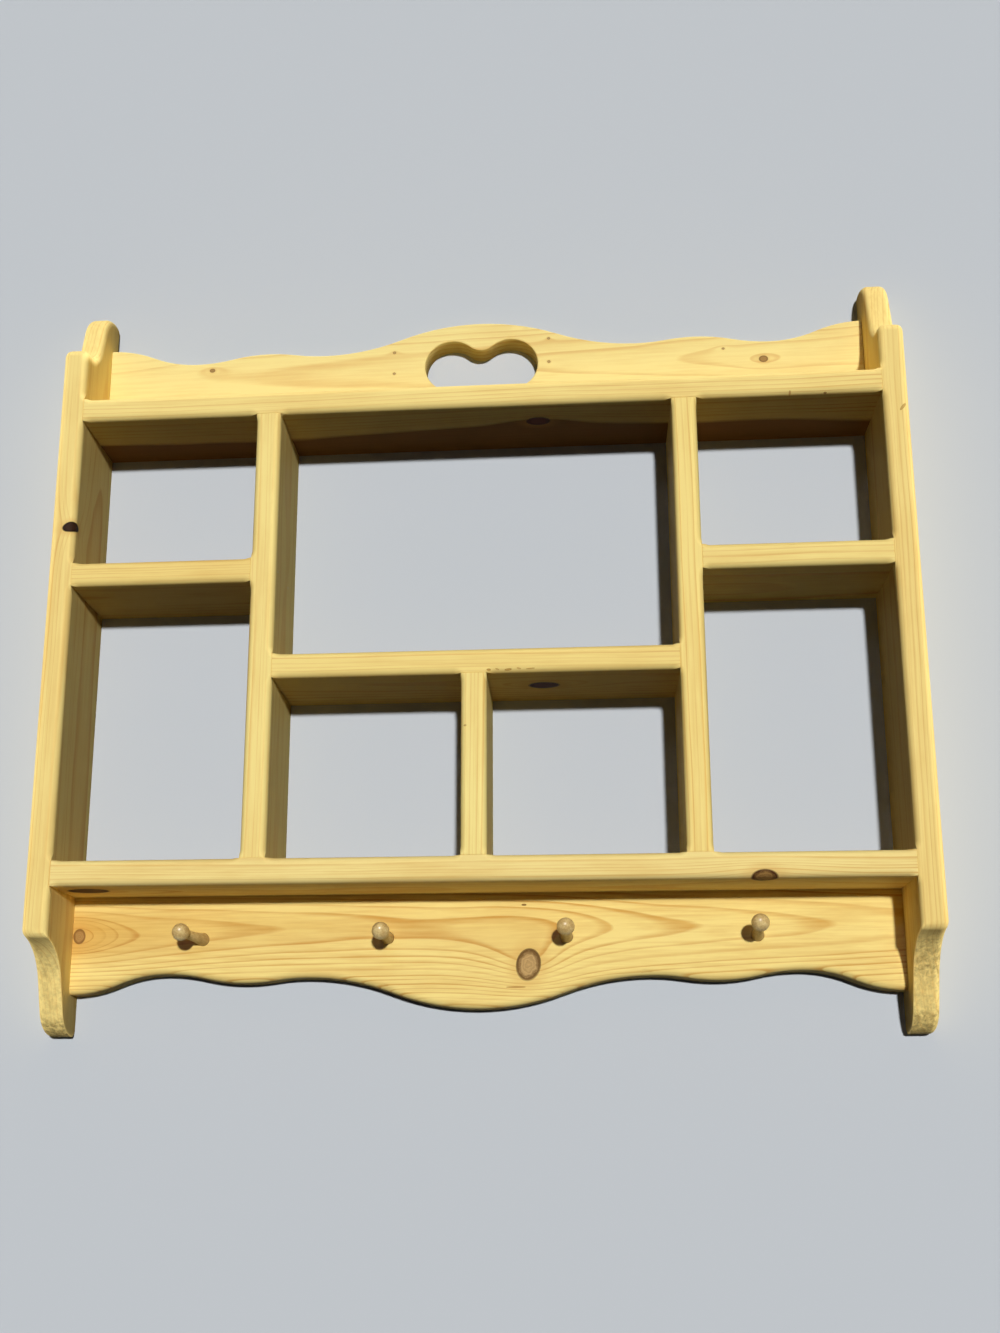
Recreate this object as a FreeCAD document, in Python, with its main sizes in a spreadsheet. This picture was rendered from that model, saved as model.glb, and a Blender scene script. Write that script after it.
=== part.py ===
"""Pine wall shelf with pegs: dowelled and glued boards, hung on two keyhole plates."""
import FreeCAD, Part
import math
import os

import Sketcher

V = FreeCAD.Vector

# Driving dimensions in millimetres, and angles in degrees
SIZES = {
    # The frame of boards
    "overall_width": 620,
    "depth": 70,
    "board": 18,
    "top_shelf_height": 350.5,
    "small_shelf_height": 219.5,
    "middle_shelf_height": 146.5,
    "divider_spacing": 303,
    # The rounded front edges, cut by a bit whose bearing runs along the boards
    "edge_radius": 5,
    "bearing_radius": 6,
    "cut_overrun": 1,
    # The horns that the sides end in, ears above with level shoulders and feet below with sloping ones
    "shoulder_radius": 7,
    "horn_back_radius": 7,
    "left_ear_shoulder": 42.5,
    "right_ear_shoulder": 36,
    "ear_height": 99,
    "ear_set_back": 41,
    "ear_slope": 74.5,
    "ear_cove_radius": 21,
    "foot_overrun": 28.5,
    "foot_shoulder_slope": 16,
    "foot_land": 3.3,
    "foot_cove_radius": 40,
    "foot_slope": 72,
    "foot_straight": 22,
    # The scrolled outline that both rails share, measured from the shelf
    "scroll_centre_height": 80.5,
    "scroll_dip_height": 58.2,
    "scroll_hump_height": 61.8,
    "scroll_low_height": 55.2,
    "scroll_end_height": 69.5,
    "scroll_dip_place": 121,
    "scroll_hump_place": 165.5,
    "scroll_low_place": 222.5,
    "peg_rail_edge_radius": 4.5,
    # The heart cut through the top rail
    "heart_place": 1.75,
    "heart_lobe_spacing": 45,
    "heart_lobe_radius": 21,
    "heart_lobe_height": 44.8,
    "heart_cusp_radius": 13,
    "heart_tip_height": 11.5,
    "heart_tip_radius": 6,
    # The four turned pegs, each with its own place, lean to the right and rise
    "peg_drop": 31,
    "peg_shank_diameter": 9,
    "peg_neck_diameter": 6.2,
    "peg_head_diameter": 12.2,
    "peg_reach": 34.5,
    "peg_tenon": 13,
    "peg_1_place": -197,
    "peg_2_place": -64.5,
    "peg_3_place": 61,
    "peg_4_place": 192.5,
    "peg_1_lean": -17,
    "peg_2_lean": -2,
    "peg_3_lean": 0,
    "peg_4_lean": -2,
    "peg_1_rise": 3.5,
    "peg_2_rise": 2.5,
    "peg_3_rise": 6,
    "peg_4_rise": 9,
    # The dowels inside the joints
    "dowel_diameter": 8,
    "dowel_length": 30,
    "dowel_face_depth": 11,
    "dowel_inset": 17.5,
    "dowel_end_gap": 0.5,
    "rail_dowel_low": 14,
    "rail_dowel_high": 46,
    "glue_gap": 0.1,
    # The keyhole plates let into the back of the top rail, and their screws
    "hanger_inset": 70,
    "hanger_rise": 22,
    "plate_length": 44,
    "plate_width": 16,
    "plate_thickness": 1.5,
    "plate_centre_rise": 5,
    "plate_gap": 0.2,
    "keyhole_diameter": 9,
    "keyhole_slot": 4.5,
    "keyhole_travel": 11,
    "head_pocket_width": 11.5,
    "head_pocket_depth": 11,
    "screw_spacing": 33,
    "screw_diameter": 3,
    "screw_head_diameter": 6,
    "screw_length": 12,
    "screw_tip": 3,
    "screw_slot": 0.8,
}

doc = FreeCAD.newDocument("wall_shelf_with_pegs")
sheet = doc.addObject("Spreadsheet::Sheet", "sizes")
for row, (alias, number) in enumerate(SIZES.items(), start=1):
    sheet.set(f"A{row}", alias)
    sheet.set(f"B{row}", str(number))
    sheet.setAlias(f"B{row}", alias)
doc.recompute()

# Places as expressions. The origin lies on the wall, midway between the keyholes' round entries.
TOP = "(-sizes.hanger_rise)"
UNDER_TOP = f"({TOP} - sizes.board)"
FLOOR = f"({TOP} - sizes.top_shelf_height)"
UNDER_FLOOR = f"({FLOOR} - sizes.board)"
SMALL = f"({FLOOR} + sizes.small_shelf_height)"
UNDER_SMALL = f"({SMALL} - sizes.board)"
MIDDLE = f"({FLOOR} + sizes.middle_shelf_height)"
UNDER_MIDDLE = f"({MIDDLE} - sizes.board)"
INNER = "(sizes.overall_width / 2 - sizes.board)"
DIVIDER = "(sizes.divider_spacing / 2)"
HALF = "(sizes.board / 2)"
EAR_FEET = {
    "left": f"({TOP} + sizes.left_ear_shoulder - sizes.shoulder_radius)",
    "right": f"({TOP} + sizes.right_ear_shoulder - sizes.shoulder_radius)",
}
PAST_FOOT = "(sizes.foot_overrun + 2 * (sizes.foot_cove_radius + sizes.foot_straight))"

# Turns of a sketch: facing the front, facing the right, and level across the left or right inner face
UPRIGHT = FreeCAD.Rotation(V(1, 0, 0), 90)
CROSSWISE = FreeCAD.Rotation(V(1, 1, 1), 120)
LEVEL = {"left": FreeCAD.Rotation(V(1, 1, 0), 180), "right": FreeCAD.Rotation(V(0, 0, 1), 90)}
AXIS_TURNS = {
    "+X": FreeCAD.Rotation(V(0, 1, 0), 90),
    "-X": FreeCAD.Rotation(V(0, 1, 0), -90),
    "+Z": FreeCAD.Rotation(),
    "-Z": FreeCAD.Rotation(V(1, 0, 0), 180),
}

nodes = {}


def size(alias):
    """One driving dimension, as a number."""
    return float(sheet.get(alias))


def value(expression):
    """An expression in the driving dimensions, as a number."""
    return float(sheet.evalExpression(expression.replace("sizes.", "")))


def bind(thing, bindings):
    """Ties properties of an object to expressions in the driving dimensions."""
    for path, expression in bindings.items():
        thing.setExpression(path, expression)


def at(x, y, z):
    """Bindings that place an object at expressions."""
    return {"Placement.Base.x": x, "Placement.Base.y": y, "Placement.Base.z": z}


def keep(name, thing):
    """Names a finished piece of the shelf."""
    thing.Label = name
    nodes[name] = thing
    return thing


def compound(name, things):
    """Separate solids held together in one object."""
    group = doc.addObject("Part::Compound", name)
    group.Links = things
    return group


def cut(name, base, tools):
    """A piece with a group of separate cuts taken out of it."""
    piece = doc.addObject("Part::Cut", name)
    piece.Base = base
    piece.Tool = compound(f"{name}_cuts", tools)
    return piece


def plane_sketch(body, plane, name, shapes):
    """A sketch on one of a body's own planes, with outlines worked out from the driving dimensions."""
    sketch = body.newObject("Sketcher::SketchObject", name)
    origin_plane = [item for item in body.Origin.OriginFeatures if item.Role == plane][0]
    sketch.AttachmentSupport = [(origin_plane, "")]
    sketch.MapMode = "FlatFace"
    for shape in shapes:
        index = sketch.addGeometry(shape, False)
        sketch.addConstraint(Sketcher.Constraint("Block", index))
    return sketch


def padded(name, plane, shapes, thickness):
    """A body made by giving an outline its thickness."""
    body = doc.addObject("PartDesign::Body", name)
    outline = plane_sketch(body, plane, f"{name}_outline", shapes)
    pad = body.newObject("PartDesign::Pad", f"{name}_pad")
    pad.Profile = outline
    pad.setExpression("Length", thickness)
    doc.recompute()
    return body


def polar(centre, radius, degrees):
    """A point on a circle in a sketch."""
    turn = math.radians(degrees)
    return centre + V(radius * math.cos(turn), radius * math.sin(turn), 0)


def tangent_run(start, heading, steps):
    """Lines and arcs that follow on smoothly. A step is (length,) or (radius, turn in degrees)."""
    shapes = []
    for step in steps:
        if len(step) == 1:
            end = polar(start, step[0], heading)
            shapes.append(Part.LineSegment(start, end))
        else:
            radius, turn = step
            side = math.copysign(90, turn)
            centre = polar(start, radius, heading + side)
            middle = polar(centre, radius, heading - side + turn / 2)
            end = polar(centre, radius, heading - side + turn)
            shapes.append(Part.Arc(start, middle, end))
            heading = heading + turn
        start = end
    return shapes


def obround(width, length, centre):
    """A slot outline with round ends, upright in its sketch."""
    radius = width / 2
    rise = length / 2 - radius
    top = centre + V(0, rise, 0)
    bottom = centre - V(0, rise, 0)
    return [
        Part.Arc(polar(top, radius, 0), polar(top, radius, 90), polar(top, radius, 180)),
        Part.LineSegment(polar(top, radius, 180), polar(bottom, radius, 180)),
        Part.Arc(polar(bottom, radius, 180), polar(bottom, radius, 270), polar(bottom, radius, 0)),
        Part.LineSegment(polar(bottom, radius, 0), polar(top, radius, 0)),
    ]


def cylinder(name, radius, height, place, turn):
    """A round bar or bore."""
    bar = doc.addObject("Part::Cylinder", name)
    bar.Placement.Rotation = turn
    bind(bar, {"Radius": radius, "Height": height, **at(*place)})
    return bar


# Rounded front edges. After glue-up a bit with a bearing was run round every opening, so each
# edge is a quarter round that sweeps in a curve through the inside corners.
def rounding_path(name, x0, x1, z0, z1):
    """The bearing's path round an opening: a rectangle with corners of the bearing's radius."""
    width = f"({x1}) - ({x0})"
    height = f"({z1}) - ({z0})"
    w, h, r = value(width), value(height), size("bearing_radius")
    path = doc.addObject("Sketcher::SketchObject", f"{name}_path")
    path.Placement.Rotation = UPRIGHT
    bind(path, at(x0, "-sizes.depth", z0))
    sides = [((r, 0), (w - r, 0)), ((w, r), (w, h - r)), ((w - r, h), (r, h)), ((0, h - r), (0, r))]
    centres = [(w - r, r), (w - r, h - r), (r, h - r), (r, r)]
    for side, (begin, end) in enumerate(sides):
        path.addGeometry(Part.LineSegment(V(*begin, 0), V(*end, 0)), False)
        circle = Part.Circle(V(*centres[side], 0), V(0, 0, 1), r)
        start = math.radians(90 * (side - 1))
        path.addGeometry(Part.ArcOfCircle(circle, start, start + math.pi / 2), False)
    edges = 2 * len(sides)
    for edge in range(edges):
        path.addConstraint(Sketcher.Constraint("Tangent", edge, 2, (edge + 1) % edges, 1))
    bottom, first_corner, right, top, left = 0, 1, 2, 4, 6
    path.addConstraint(Sketcher.Constraint("Horizontal", bottom))
    path.addConstraint(Sketcher.Constraint("Vertical", right))
    path.addConstraint(Sketcher.Constraint("Horizontal", top))
    path.addConstraint(Sketcher.Constraint("Vertical", left))
    path.addConstraint(Sketcher.Constraint("PointOnObject", bottom, 1, -1))
    path.addConstraint(Sketcher.Constraint("PointOnObject", left, 1, -2))
    for corner in (3, 5, 7):
        path.addConstraint(Sketcher.Constraint("Equal", first_corner, corner))
    named = {
        "corner": (Sketcher.Constraint("Radius", first_corner, r), "sizes.bearing_radius"),
        "width": (Sketcher.Constraint("DistanceX", left, 1, right, 1, w), width),
        "height": (Sketcher.Constraint("DistanceY", bottom, 1, top, 1, h), height),
    }
    for label, (constraint, expression) in named.items():
        path.renameConstraint(path.addConstraint(constraint), label)
        path.setExpression(f"Constraints.{label}", expression)
    return path


def placed_sketch(name, turn, place, shapes):
    """A sketch of given shapes, turned and placed at expressions."""
    sketch = doc.addObject("Sketcher::SketchObject", name)
    sketch.Placement.Rotation = turn
    bind(sketch, at(*place))
    for shape in shapes:
        sketch.addConstraint(Sketcher.Constraint("Block", sketch.addGeometry(shape, False)))
    return sketch


def rounding_cut(name, path, turn, place):
    """What the bit takes away along a path: its hollow profile, with the sharp edge at a place, swept."""
    r, over = size("edge_radius"), size("cut_overrun")
    corners = [V(0, -r, 0), V(-over, -r, 0), V(-over, over, 0), V(r, over, 0), V(r, 0, 0)]
    shapes = [Part.LineSegment(begin, end) for begin, end in zip(corners, corners[1:])]
    shapes.append(Part.Arc(corners[-1], polar(V(r, -r, 0), r, 135), corners[0]))
    profile = placed_sketch(f"{name}_profile", turn, place, shapes)
    doc.recompute()
    sweep = doc.addObject("Part::Sweep", name)
    sweep.Sections = [profile]
    sweep.Spine = (path, [f"Edge{n}" for n in range(1, len(path.Shape.Edges) + 1)])
    sweep.Solid = True
    return sweep


OPENINGS = {
    "upper_left_cell": (f"-{INNER}", f"-{DIVIDER} - {HALF}", SMALL, UNDER_TOP),
    "lower_left_cell": (f"-{INNER}", f"-{DIVIDER} - {HALF}", FLOOR, UNDER_SMALL),
    "upper_right_cell": (f"{DIVIDER} + {HALF}", INNER, SMALL, UNDER_TOP),
    "lower_right_cell": (f"{DIVIDER} + {HALF}", INNER, FLOOR, UNDER_SMALL),
    "main_cell": (f"-{DIVIDER} + {HALF}", f"{DIVIDER} - {HALF}", MIDDLE, UNDER_TOP),
    "middle_left_cell": (f"-{DIVIDER} + {HALF}", f"-{HALF}", FLOOR, UNDER_MIDDLE),
    "middle_right_cell": (HALF, f"{DIVIDER} - {HALF}", FLOOR, UNDER_MIDDLE),
    "below_bottom_shelf": (f"-{INNER}", INNER, f"{UNDER_FLOOR} - {PAST_FOOT}", UNDER_FLOOR),
}
rounding = {}
for name, (x0, x1, z0, z1) in OPENINGS.items():
    path = rounding_path(name, x0, x1, z0, z1)
    corner = (f"{x0} + sizes.bearing_radius", "-sizes.depth", z0)
    rounding[name] = rounding_cut(name, path, CROSSWISE, corner)


def above_shelf_path():
    """Down the left side from its ear, along the top shelf and up the right side to its ear."""
    half, shelf, r = value(INNER), value(TOP), size("bearing_radius")
    left, right = value(EAR_FEET["left"]), value(EAR_FEET["right"])
    steps = [(left - shelf - r,), (r, 90), (2 * (half - r),), (r, 90), (right - shelf - r,)]
    shapes = tangent_run(V(-half, left, 0), -90, steps)
    return placed_sketch("above_top_shelf_path", UPRIGHT, ("0", "-sizes.depth", "0"), shapes)


rounding["above_top_shelf"] = rounding_cut(
    "above_top_shelf", above_shelf_path(), LEVEL["left"], (f"-{INNER}", "-sizes.depth", EAR_FEET["left"]))


# The ears stand free above the top rail, so their inner edges are rounded as well, from the front
# over the top and down the back to the end of the rail.
def ear_run(name):
    """An ear's outline seen from the right, from its front edge to the wall at y = 0."""
    depth, height, set_back = size("depth"), size("ear_height"), size("ear_set_back")
    shoulder, slope, cove = size(f"{name}_ear_shoulder"), size("ear_slope"), size("ear_cove_radius")
    corner, back = size("shoulder_radius"), size("horn_back_radius")
    lean = math.radians(slope)
    rise = height - shoulder
    cove_reach = cove * math.tan(lean / 2)
    tip_reach = depth - set_back - back
    land = set_back - corner - rise / math.tan(lean) - cove_reach
    straight = rise / math.sin(lean) - cove_reach - tip_reach
    tip = tip_reach / math.tan(lean / 2)
    steps = [(corner, -90), (land,), (cove, slope), (straight,), (tip, -slope), (back, -90)]
    return tangent_run(V(-depth, value(EAR_FEET[name]), 0), 90, steps)


for name, face in (("left", f"-{INNER}"), ("right", INNER)):
    run = ear_run(name)
    rail_end = V(0, value(TOP) + size("scroll_end_height"), 0)
    shapes = run + [Part.LineSegment(run[-1].EndPoint, rail_end)]
    path = placed_sketch(f"{name}_ear_path", CROSSWISE, (face, "0", "0"), shapes)
    corner = (face, "-sizes.depth", EAR_FEET[name])
    rounding[f"{name}_ear"] = rounding_cut(f"{name}_ear", path, LEVEL[name], corner)


# Dowels. Each butt joint is pinned by beech dowels, two across the depth of a shelf or divider,
# and two up each end of a rail.
def dowel_group(name, joints):
    """The dowels of one board and their bores. A joint is a point on its face and a direction."""
    dowels, bores = [], []
    for number, (x, y, z, direction) in enumerate(joints, start=1):
        back = "-" if direction[0] == "+" else "+"
        start = {"X": x, "Y": y, "Z": z}
        deep = dict(start)
        axis = direction[1]
        start[axis] = f"{start[axis]} {back} sizes.dowel_face_depth"
        deep[axis] = f"{start[axis]} {back} sizes.dowel_end_gap"
        turn = AXIS_TURNS[direction]
        dowels.append(cylinder(
            f"{name}_pin_{number}", "sizes.dowel_diameter / 2", "sizes.dowel_length", start.values(), turn))
        bores.append(cylinder(
            f"{name}_bore_{number}", "sizes.dowel_diameter / 2 + sizes.glue_gap",
            "sizes.dowel_length + 2 * sizes.dowel_end_gap", deep.values(), turn))
    keep(name, compound(name, dowels))
    return bores


ACROSS = ["-sizes.dowel_inset", "-sizes.depth + sizes.dowel_inset"]
RAIL_CENTRE = f"-{HALF}"


def shelf_joints(left, right, top):
    """Dowels at both ends of a shelf between two upright faces."""
    middle = f"{top} - {HALF}"
    return [(x, y, middle, way) for x, way in ((left, "+X"), (right, "-X")) for y in ACROSS]


def divider_joints(x, bottom, top):
    """Dowels at both ends of a divider between two shelves."""
    return [(x, y, z, way) for z, way in ((bottom, "+Z"), (top, "-Z")) for y in ACROSS]


def rail_joints(low, high):
    """Dowels at both ends of a rail between the sides."""
    ends = ((f"-{INNER}", "+X"), (INNER, "-X"))
    return [(x, RAIL_CENTRE, z, way) for x, way in ends for z in (low, high)]


bores = {
    "top_shelf": dowel_group("top_shelf_dowels", shelf_joints(f"-{INNER}", INNER, TOP)),
    "bottom_shelf": dowel_group("bottom_shelf_dowels", shelf_joints(f"-{INNER}", INNER, FLOOR)),
    "left_small_shelf": dowel_group(
        "left_small_shelf_dowels", shelf_joints(f"-{INNER}", f"-{DIVIDER} - {HALF}", SMALL)),
    "right_small_shelf": dowel_group(
        "right_small_shelf_dowels", shelf_joints(f"{DIVIDER} + {HALF}", INNER, SMALL)),
    "middle_shelf": dowel_group(
        "middle_shelf_dowels", shelf_joints(f"-{DIVIDER} + {HALF}", f"{DIVIDER} - {HALF}", MIDDLE)),
    "left_divider": dowel_group("left_divider_dowels", divider_joints(f"-{DIVIDER}", FLOOR, UNDER_TOP)),
    "right_divider": dowel_group("right_divider_dowels", divider_joints(DIVIDER, FLOOR, UNDER_TOP)),
    "centre_divider": dowel_group("centre_divider_dowels", divider_joints("0", FLOOR, UNDER_MIDDLE)),
    "top_rail": dowel_group(
        "top_rail_dowels", rail_joints(f"{TOP} + sizes.rail_dowel_low", f"{TOP} + sizes.rail_dowel_high")),
    "peg_rail": dowel_group(
        "peg_rail_dowels",
        rail_joints(f"{UNDER_FLOOR} - sizes.rail_dowel_low", f"{UNDER_FLOOR} - sizes.rail_dowel_high")),
}

# Shelves and dividers. Plain boards, butted between their neighbours, with bores for the dowels
# and their share of the rounding.
BOARDS = {
    "top_shelf": (
        (f"-{INNER}", INNER, UNDER_TOP, TOP),
        ("above_top_shelf", "upper_left_cell", "main_cell", "upper_right_cell"),
        ("top_shelf", "left_divider", "right_divider")),
    "bottom_shelf": (
        (f"-{INNER}", INNER, UNDER_FLOOR, FLOOR),
        ("below_bottom_shelf", "lower_left_cell", "middle_left_cell", "middle_right_cell",
         "lower_right_cell"),
        ("bottom_shelf", "left_divider", "right_divider", "centre_divider")),
    "middle_shelf": (
        (f"-{DIVIDER} + {HALF}", f"{DIVIDER} - {HALF}", UNDER_MIDDLE, MIDDLE),
        ("main_cell", "middle_left_cell", "middle_right_cell"),
        ("middle_shelf", "centre_divider")),
    "left_small_shelf": (
        (f"-{INNER}", f"-{DIVIDER} - {HALF}", UNDER_SMALL, SMALL),
        ("upper_left_cell", "lower_left_cell"),
        ("left_small_shelf",)),
    "right_small_shelf": (
        (f"{DIVIDER} + {HALF}", INNER, UNDER_SMALL, SMALL),
        ("upper_right_cell", "lower_right_cell"),
        ("right_small_shelf",)),
    "left_divider": (
        (f"-{DIVIDER} - {HALF}", f"-{DIVIDER} + {HALF}", FLOOR, UNDER_TOP),
        ("upper_left_cell", "lower_left_cell", "main_cell", "middle_left_cell"),
        ("left_divider", "left_small_shelf", "middle_shelf")),
    "right_divider": (
        (f"{DIVIDER} - {HALF}", f"{DIVIDER} + {HALF}", FLOOR, UNDER_TOP),
        ("upper_right_cell", "lower_right_cell", "main_cell", "middle_right_cell"),
        ("right_divider", "right_small_shelf", "middle_shelf")),
    "centre_divider": (
        (f"-{HALF}", HALF, FLOOR, UNDER_MIDDLE),
        ("middle_left_cell", "middle_right_cell"),
        ("centre_divider",)),
}
for name, ((x0, x1, z0, z1), edges, joints) in BOARDS.items():
    plank = doc.addObject("Part::Box", f"{name}_plank")
    bind(plank, {
        "Length": f"({x1}) - ({x0})",
        "Width": "sizes.depth",
        "Height": f"({z1}) - ({z0})",
        **at(x0, "-sizes.depth", z0),
    })
    tools = [rounding[edge] for edge in edges] + [bore for joint in joints for bore in bores[joint]]
    keep(name, cut(name, plank, tools))


# Sides. One board each, sawn at both ends to a narrow horn: an ear at the top and a foot below.
# The outer edge is rounded all the way round the outline.
def foot_run():
    """The foot's outline seen from the right, from its front edge to the wall at y = 0."""
    depth = size("depth")
    slope, shoulder = size("foot_slope"), size("foot_shoulder_slope")
    corner, land, cove = size("shoulder_radius"), size("foot_land"), size("foot_cove_radius")
    straight, back = size("foot_straight"), size("horn_back_radius")
    lean, level = math.radians(slope), math.radians(shoulder)
    used = corner * (1 - math.sin(level)) + land * math.cos(level)
    used = used + cove * (math.sin(lean) - math.sin(level)) + straight * math.cos(lean)
    tip = (depth - used - back) / math.sin(lean)
    steps = [
        (corner, 90 - shoulder),
        (land,),
        (cove, shoulder - slope),
        (straight,),
        (tip, slope),
        (back, 90),
    ]
    return tangent_run(V(-depth, value(UNDER_FLOOR) - size("foot_overrun"), 0), -90, steps)


def side(name, outer_face, x, edges, joints):
    """A side board. Its outer face is at 0 or at its thickness in its own body."""
    foot, ear = foot_run(), ear_run(name)
    front = Part.LineSegment(ear[0].StartPoint, foot[0].StartPoint)
    wall = Part.LineSegment(foot[-1].EndPoint, ear[-1].EndPoint)
    name = f"{name}_side"
    body = padded(f"{name}_board", "YZ_Plane", [front, *foot, wall, *ear], "sizes.board")
    pad = body.Tip
    wall_edge = -size("horn_back_radius")
    rim = [
        f"Edge{number}"
        for number, edge in enumerate(pad.Shape.Edges, start=1)
        if all(abs(vertex.X - outer_face) < 1e-6 for vertex in edge.Vertexes)
        and edge.CenterOfMass.y < wall_edge
    ]
    fillet = body.newObject("PartDesign::Fillet", f"{name}_outer_edge")
    fillet.Base = (pad, rim)
    fillet.setExpression("Radius", "sizes.edge_radius")
    bind(body, {"Placement.Base.x": x})
    tools = [rounding[edge] for edge in edges] + [bore for joint in joints for bore in bores[joint]]
    keep(name, cut(name, body, tools))


side("left", 0, "-sizes.overall_width / 2",
     ("left_ear", "above_top_shelf", "upper_left_cell", "lower_left_cell", "below_bottom_shelf"),
     ("top_shelf", "bottom_shelf", "left_small_shelf", "top_rail", "peg_rail"))
side("right", size("board"), INNER,
     ("right_ear", "above_top_shelf", "upper_right_cell", "lower_right_cell", "below_bottom_shelf"),
     ("top_shelf", "bottom_shelf", "right_small_shelf", "top_rail", "peg_rail"))


# Rails. Both are sawn to one scrolled outline, the top rail upwards from its shelf and the peg
# rail downwards. Each bend between a crest and a dip is two arcs of one radius.
def scrolled_edge(base, way):
    """The scrolled outline from right to left, at heights from base upwards (1) or downwards (-1)."""
    half = value(INNER)
    places = [0] + [size(f"scroll_{name}_place") for name in ("dip", "hump", "low")] + [half]
    heights = [size(f"scroll_{name}_height") for name in ("centre", "dip", "hump", "low", "end")]
    right = [V(x, base + way * height, 0) for x, height in zip(places, heights)]
    level = right[:0:-1] + [V(-point.x, point.y, 0) for point in right]
    shapes = []
    for begin, end in zip(level, level[1:]):
        turn = 2 * math.degrees(math.atan2(end.y - begin.y, begin.x - end.x))
        radius = (end - begin).Length ** 2 / (4 * abs(end.y - begin.y))
        shapes += tangent_run(begin, 180, [(radius, -turn), (radius, turn)])
    return shapes


def rail_outline(base, way):
    """A rail's straight edge against its shelf, its two ends and its scrolled edge."""
    scroll = scrolled_edge(base, way)
    half = value(INNER)
    begin, end = scroll[0].StartPoint, scroll[-1].EndPoint
    straight = [end, V(-half, base, 0), V(half, base, 0), begin]
    return scroll + [Part.LineSegment(a, b) for a, b in zip(straight, straight[1:])]


def heart_outline():
    """Two round lobes, a soft cusp between them and straight flanks to a rounded tip."""
    lobe_radius, cusp_radius = size("heart_lobe_radius"), size("heart_cusp_radius")
    tip_radius = size("heart_tip_radius")
    shelf = value(TOP)
    middle, spread = size("heart_place"), size("heart_lobe_spacing") / 2
    lobe_height = shelf + size("heart_lobe_height")
    cusp_rise = math.sqrt((lobe_radius + cusp_radius) ** 2 - spread ** 2)
    cusp_turn = math.degrees(math.acos(spread / (lobe_radius + cusp_radius)))
    cusp = V(middle, lobe_height + cusp_rise, 0)
    tip = V(middle, shelf + size("heart_tip_height") + tip_radius, 0)
    fall = lobe_height - tip.y
    narrowing = math.asin((lobe_radius - tip_radius) / math.hypot(fall, spread))
    flank = math.degrees(math.atan2(fall, spread) - narrowing)
    shapes = []
    for way in (1, -1):
        lobe = V(middle + way * spread, lobe_height, 0)
        upright = 90 - 90 * way

        def lobe_point(turn):
            return polar(lobe, lobe_radius, upright + way * turn)

        high, low = 180 - cusp_turn, flank - 90
        shapes.append(Part.Arc(lobe_point(high), lobe_point((high + low) / 2), lobe_point(low)))
        tip_end = polar(tip, tip_radius, upright + way * low)
        shapes.append(Part.LineSegment(lobe_point(low), tip_end))
    tip_ends = shapes[1].EndPoint, shapes[3].EndPoint
    cusp_ends = shapes[0].StartPoint, shapes[2].StartPoint
    shapes.append(Part.Arc(tip_ends[0], tip - V(0, tip_radius, 0), tip_ends[1]))
    shapes.append(Part.Arc(cusp_ends[0], cusp - V(0, cusp_radius, 0), cusp_ends[1]))
    return shapes


top_rail_board = padded("top_rail_board", "XZ_Plane", rail_outline(value(TOP), 1), "sizes.board")
heart = top_rail_board.newObject("PartDesign::Pocket", "heart")
heart.Profile = plane_sketch(top_rail_board, "XZ_Plane", "heart_outline", heart_outline())
heart.Type = "ThroughAll"
heart.Reversed = True
uncut_volume = top_rail_board.Shape.Volume
doc.recompute()
if top_rail_board.Shape.Volume >= uncut_volume:
    raise ValueError("the heart cut nothing from the top rail")

peg_rail_board = padded("peg_rail_board", "XZ_Plane", rail_outline(value(UNDER_FLOOR), -1), "sizes.board")
peg_rail_pad = peg_rail_board.Tip
scroll_rim = [
    f"Edge{number}"
    for number, edge in enumerate(peg_rail_pad.Shape.Edges, start=1)
    if isinstance(edge.Curve, Part.Circle) and edge.CenterOfMass.y < -size("board") / 2
]
peg_rail_edge = peg_rail_board.newObject("PartDesign::Fillet", "peg_rail_edge")
peg_rail_edge.Base = (peg_rail_pad, scroll_rim)
peg_rail_edge.setExpression("Radius", "sizes.peg_rail_edge_radius")


# Pegs. Turned beech pegs with a round head and a waisted shank, glued into bores in the peg rail.
# They were bored by hand, so each leans a little its own way.
def peg_profile():
    """Half of a peg's section, with its axis upright and the rail's face at height 0."""
    shank, neck, head = (size(f"peg_{name}_diameter") / 2 for name in ("shank", "neck", "head"))
    tenon, reach = size("peg_tenon"), size("peg_reach")
    ball = reach - head
    neck_height = ball - math.sqrt(head ** 2 - neck ** 2)
    waist = V((shank + neck) / 2 - (shank - neck) / 4, neck_height / 2, 0)
    return [
        Part.LineSegment(V(0, reach, 0), V(0, -tenon, 0)),
        Part.LineSegment(V(0, -tenon, 0), V(shank, -tenon, 0)),
        Part.LineSegment(V(shank, -tenon, 0), V(shank, 0, 0)),
        Part.Arc(V(shank, 0, 0), waist, V(neck, neck_height, 0)),
        Part.Arc(V(neck, neck_height, 0), V(head, ball, 0), V(0, reach, 0)),
    ]


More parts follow.
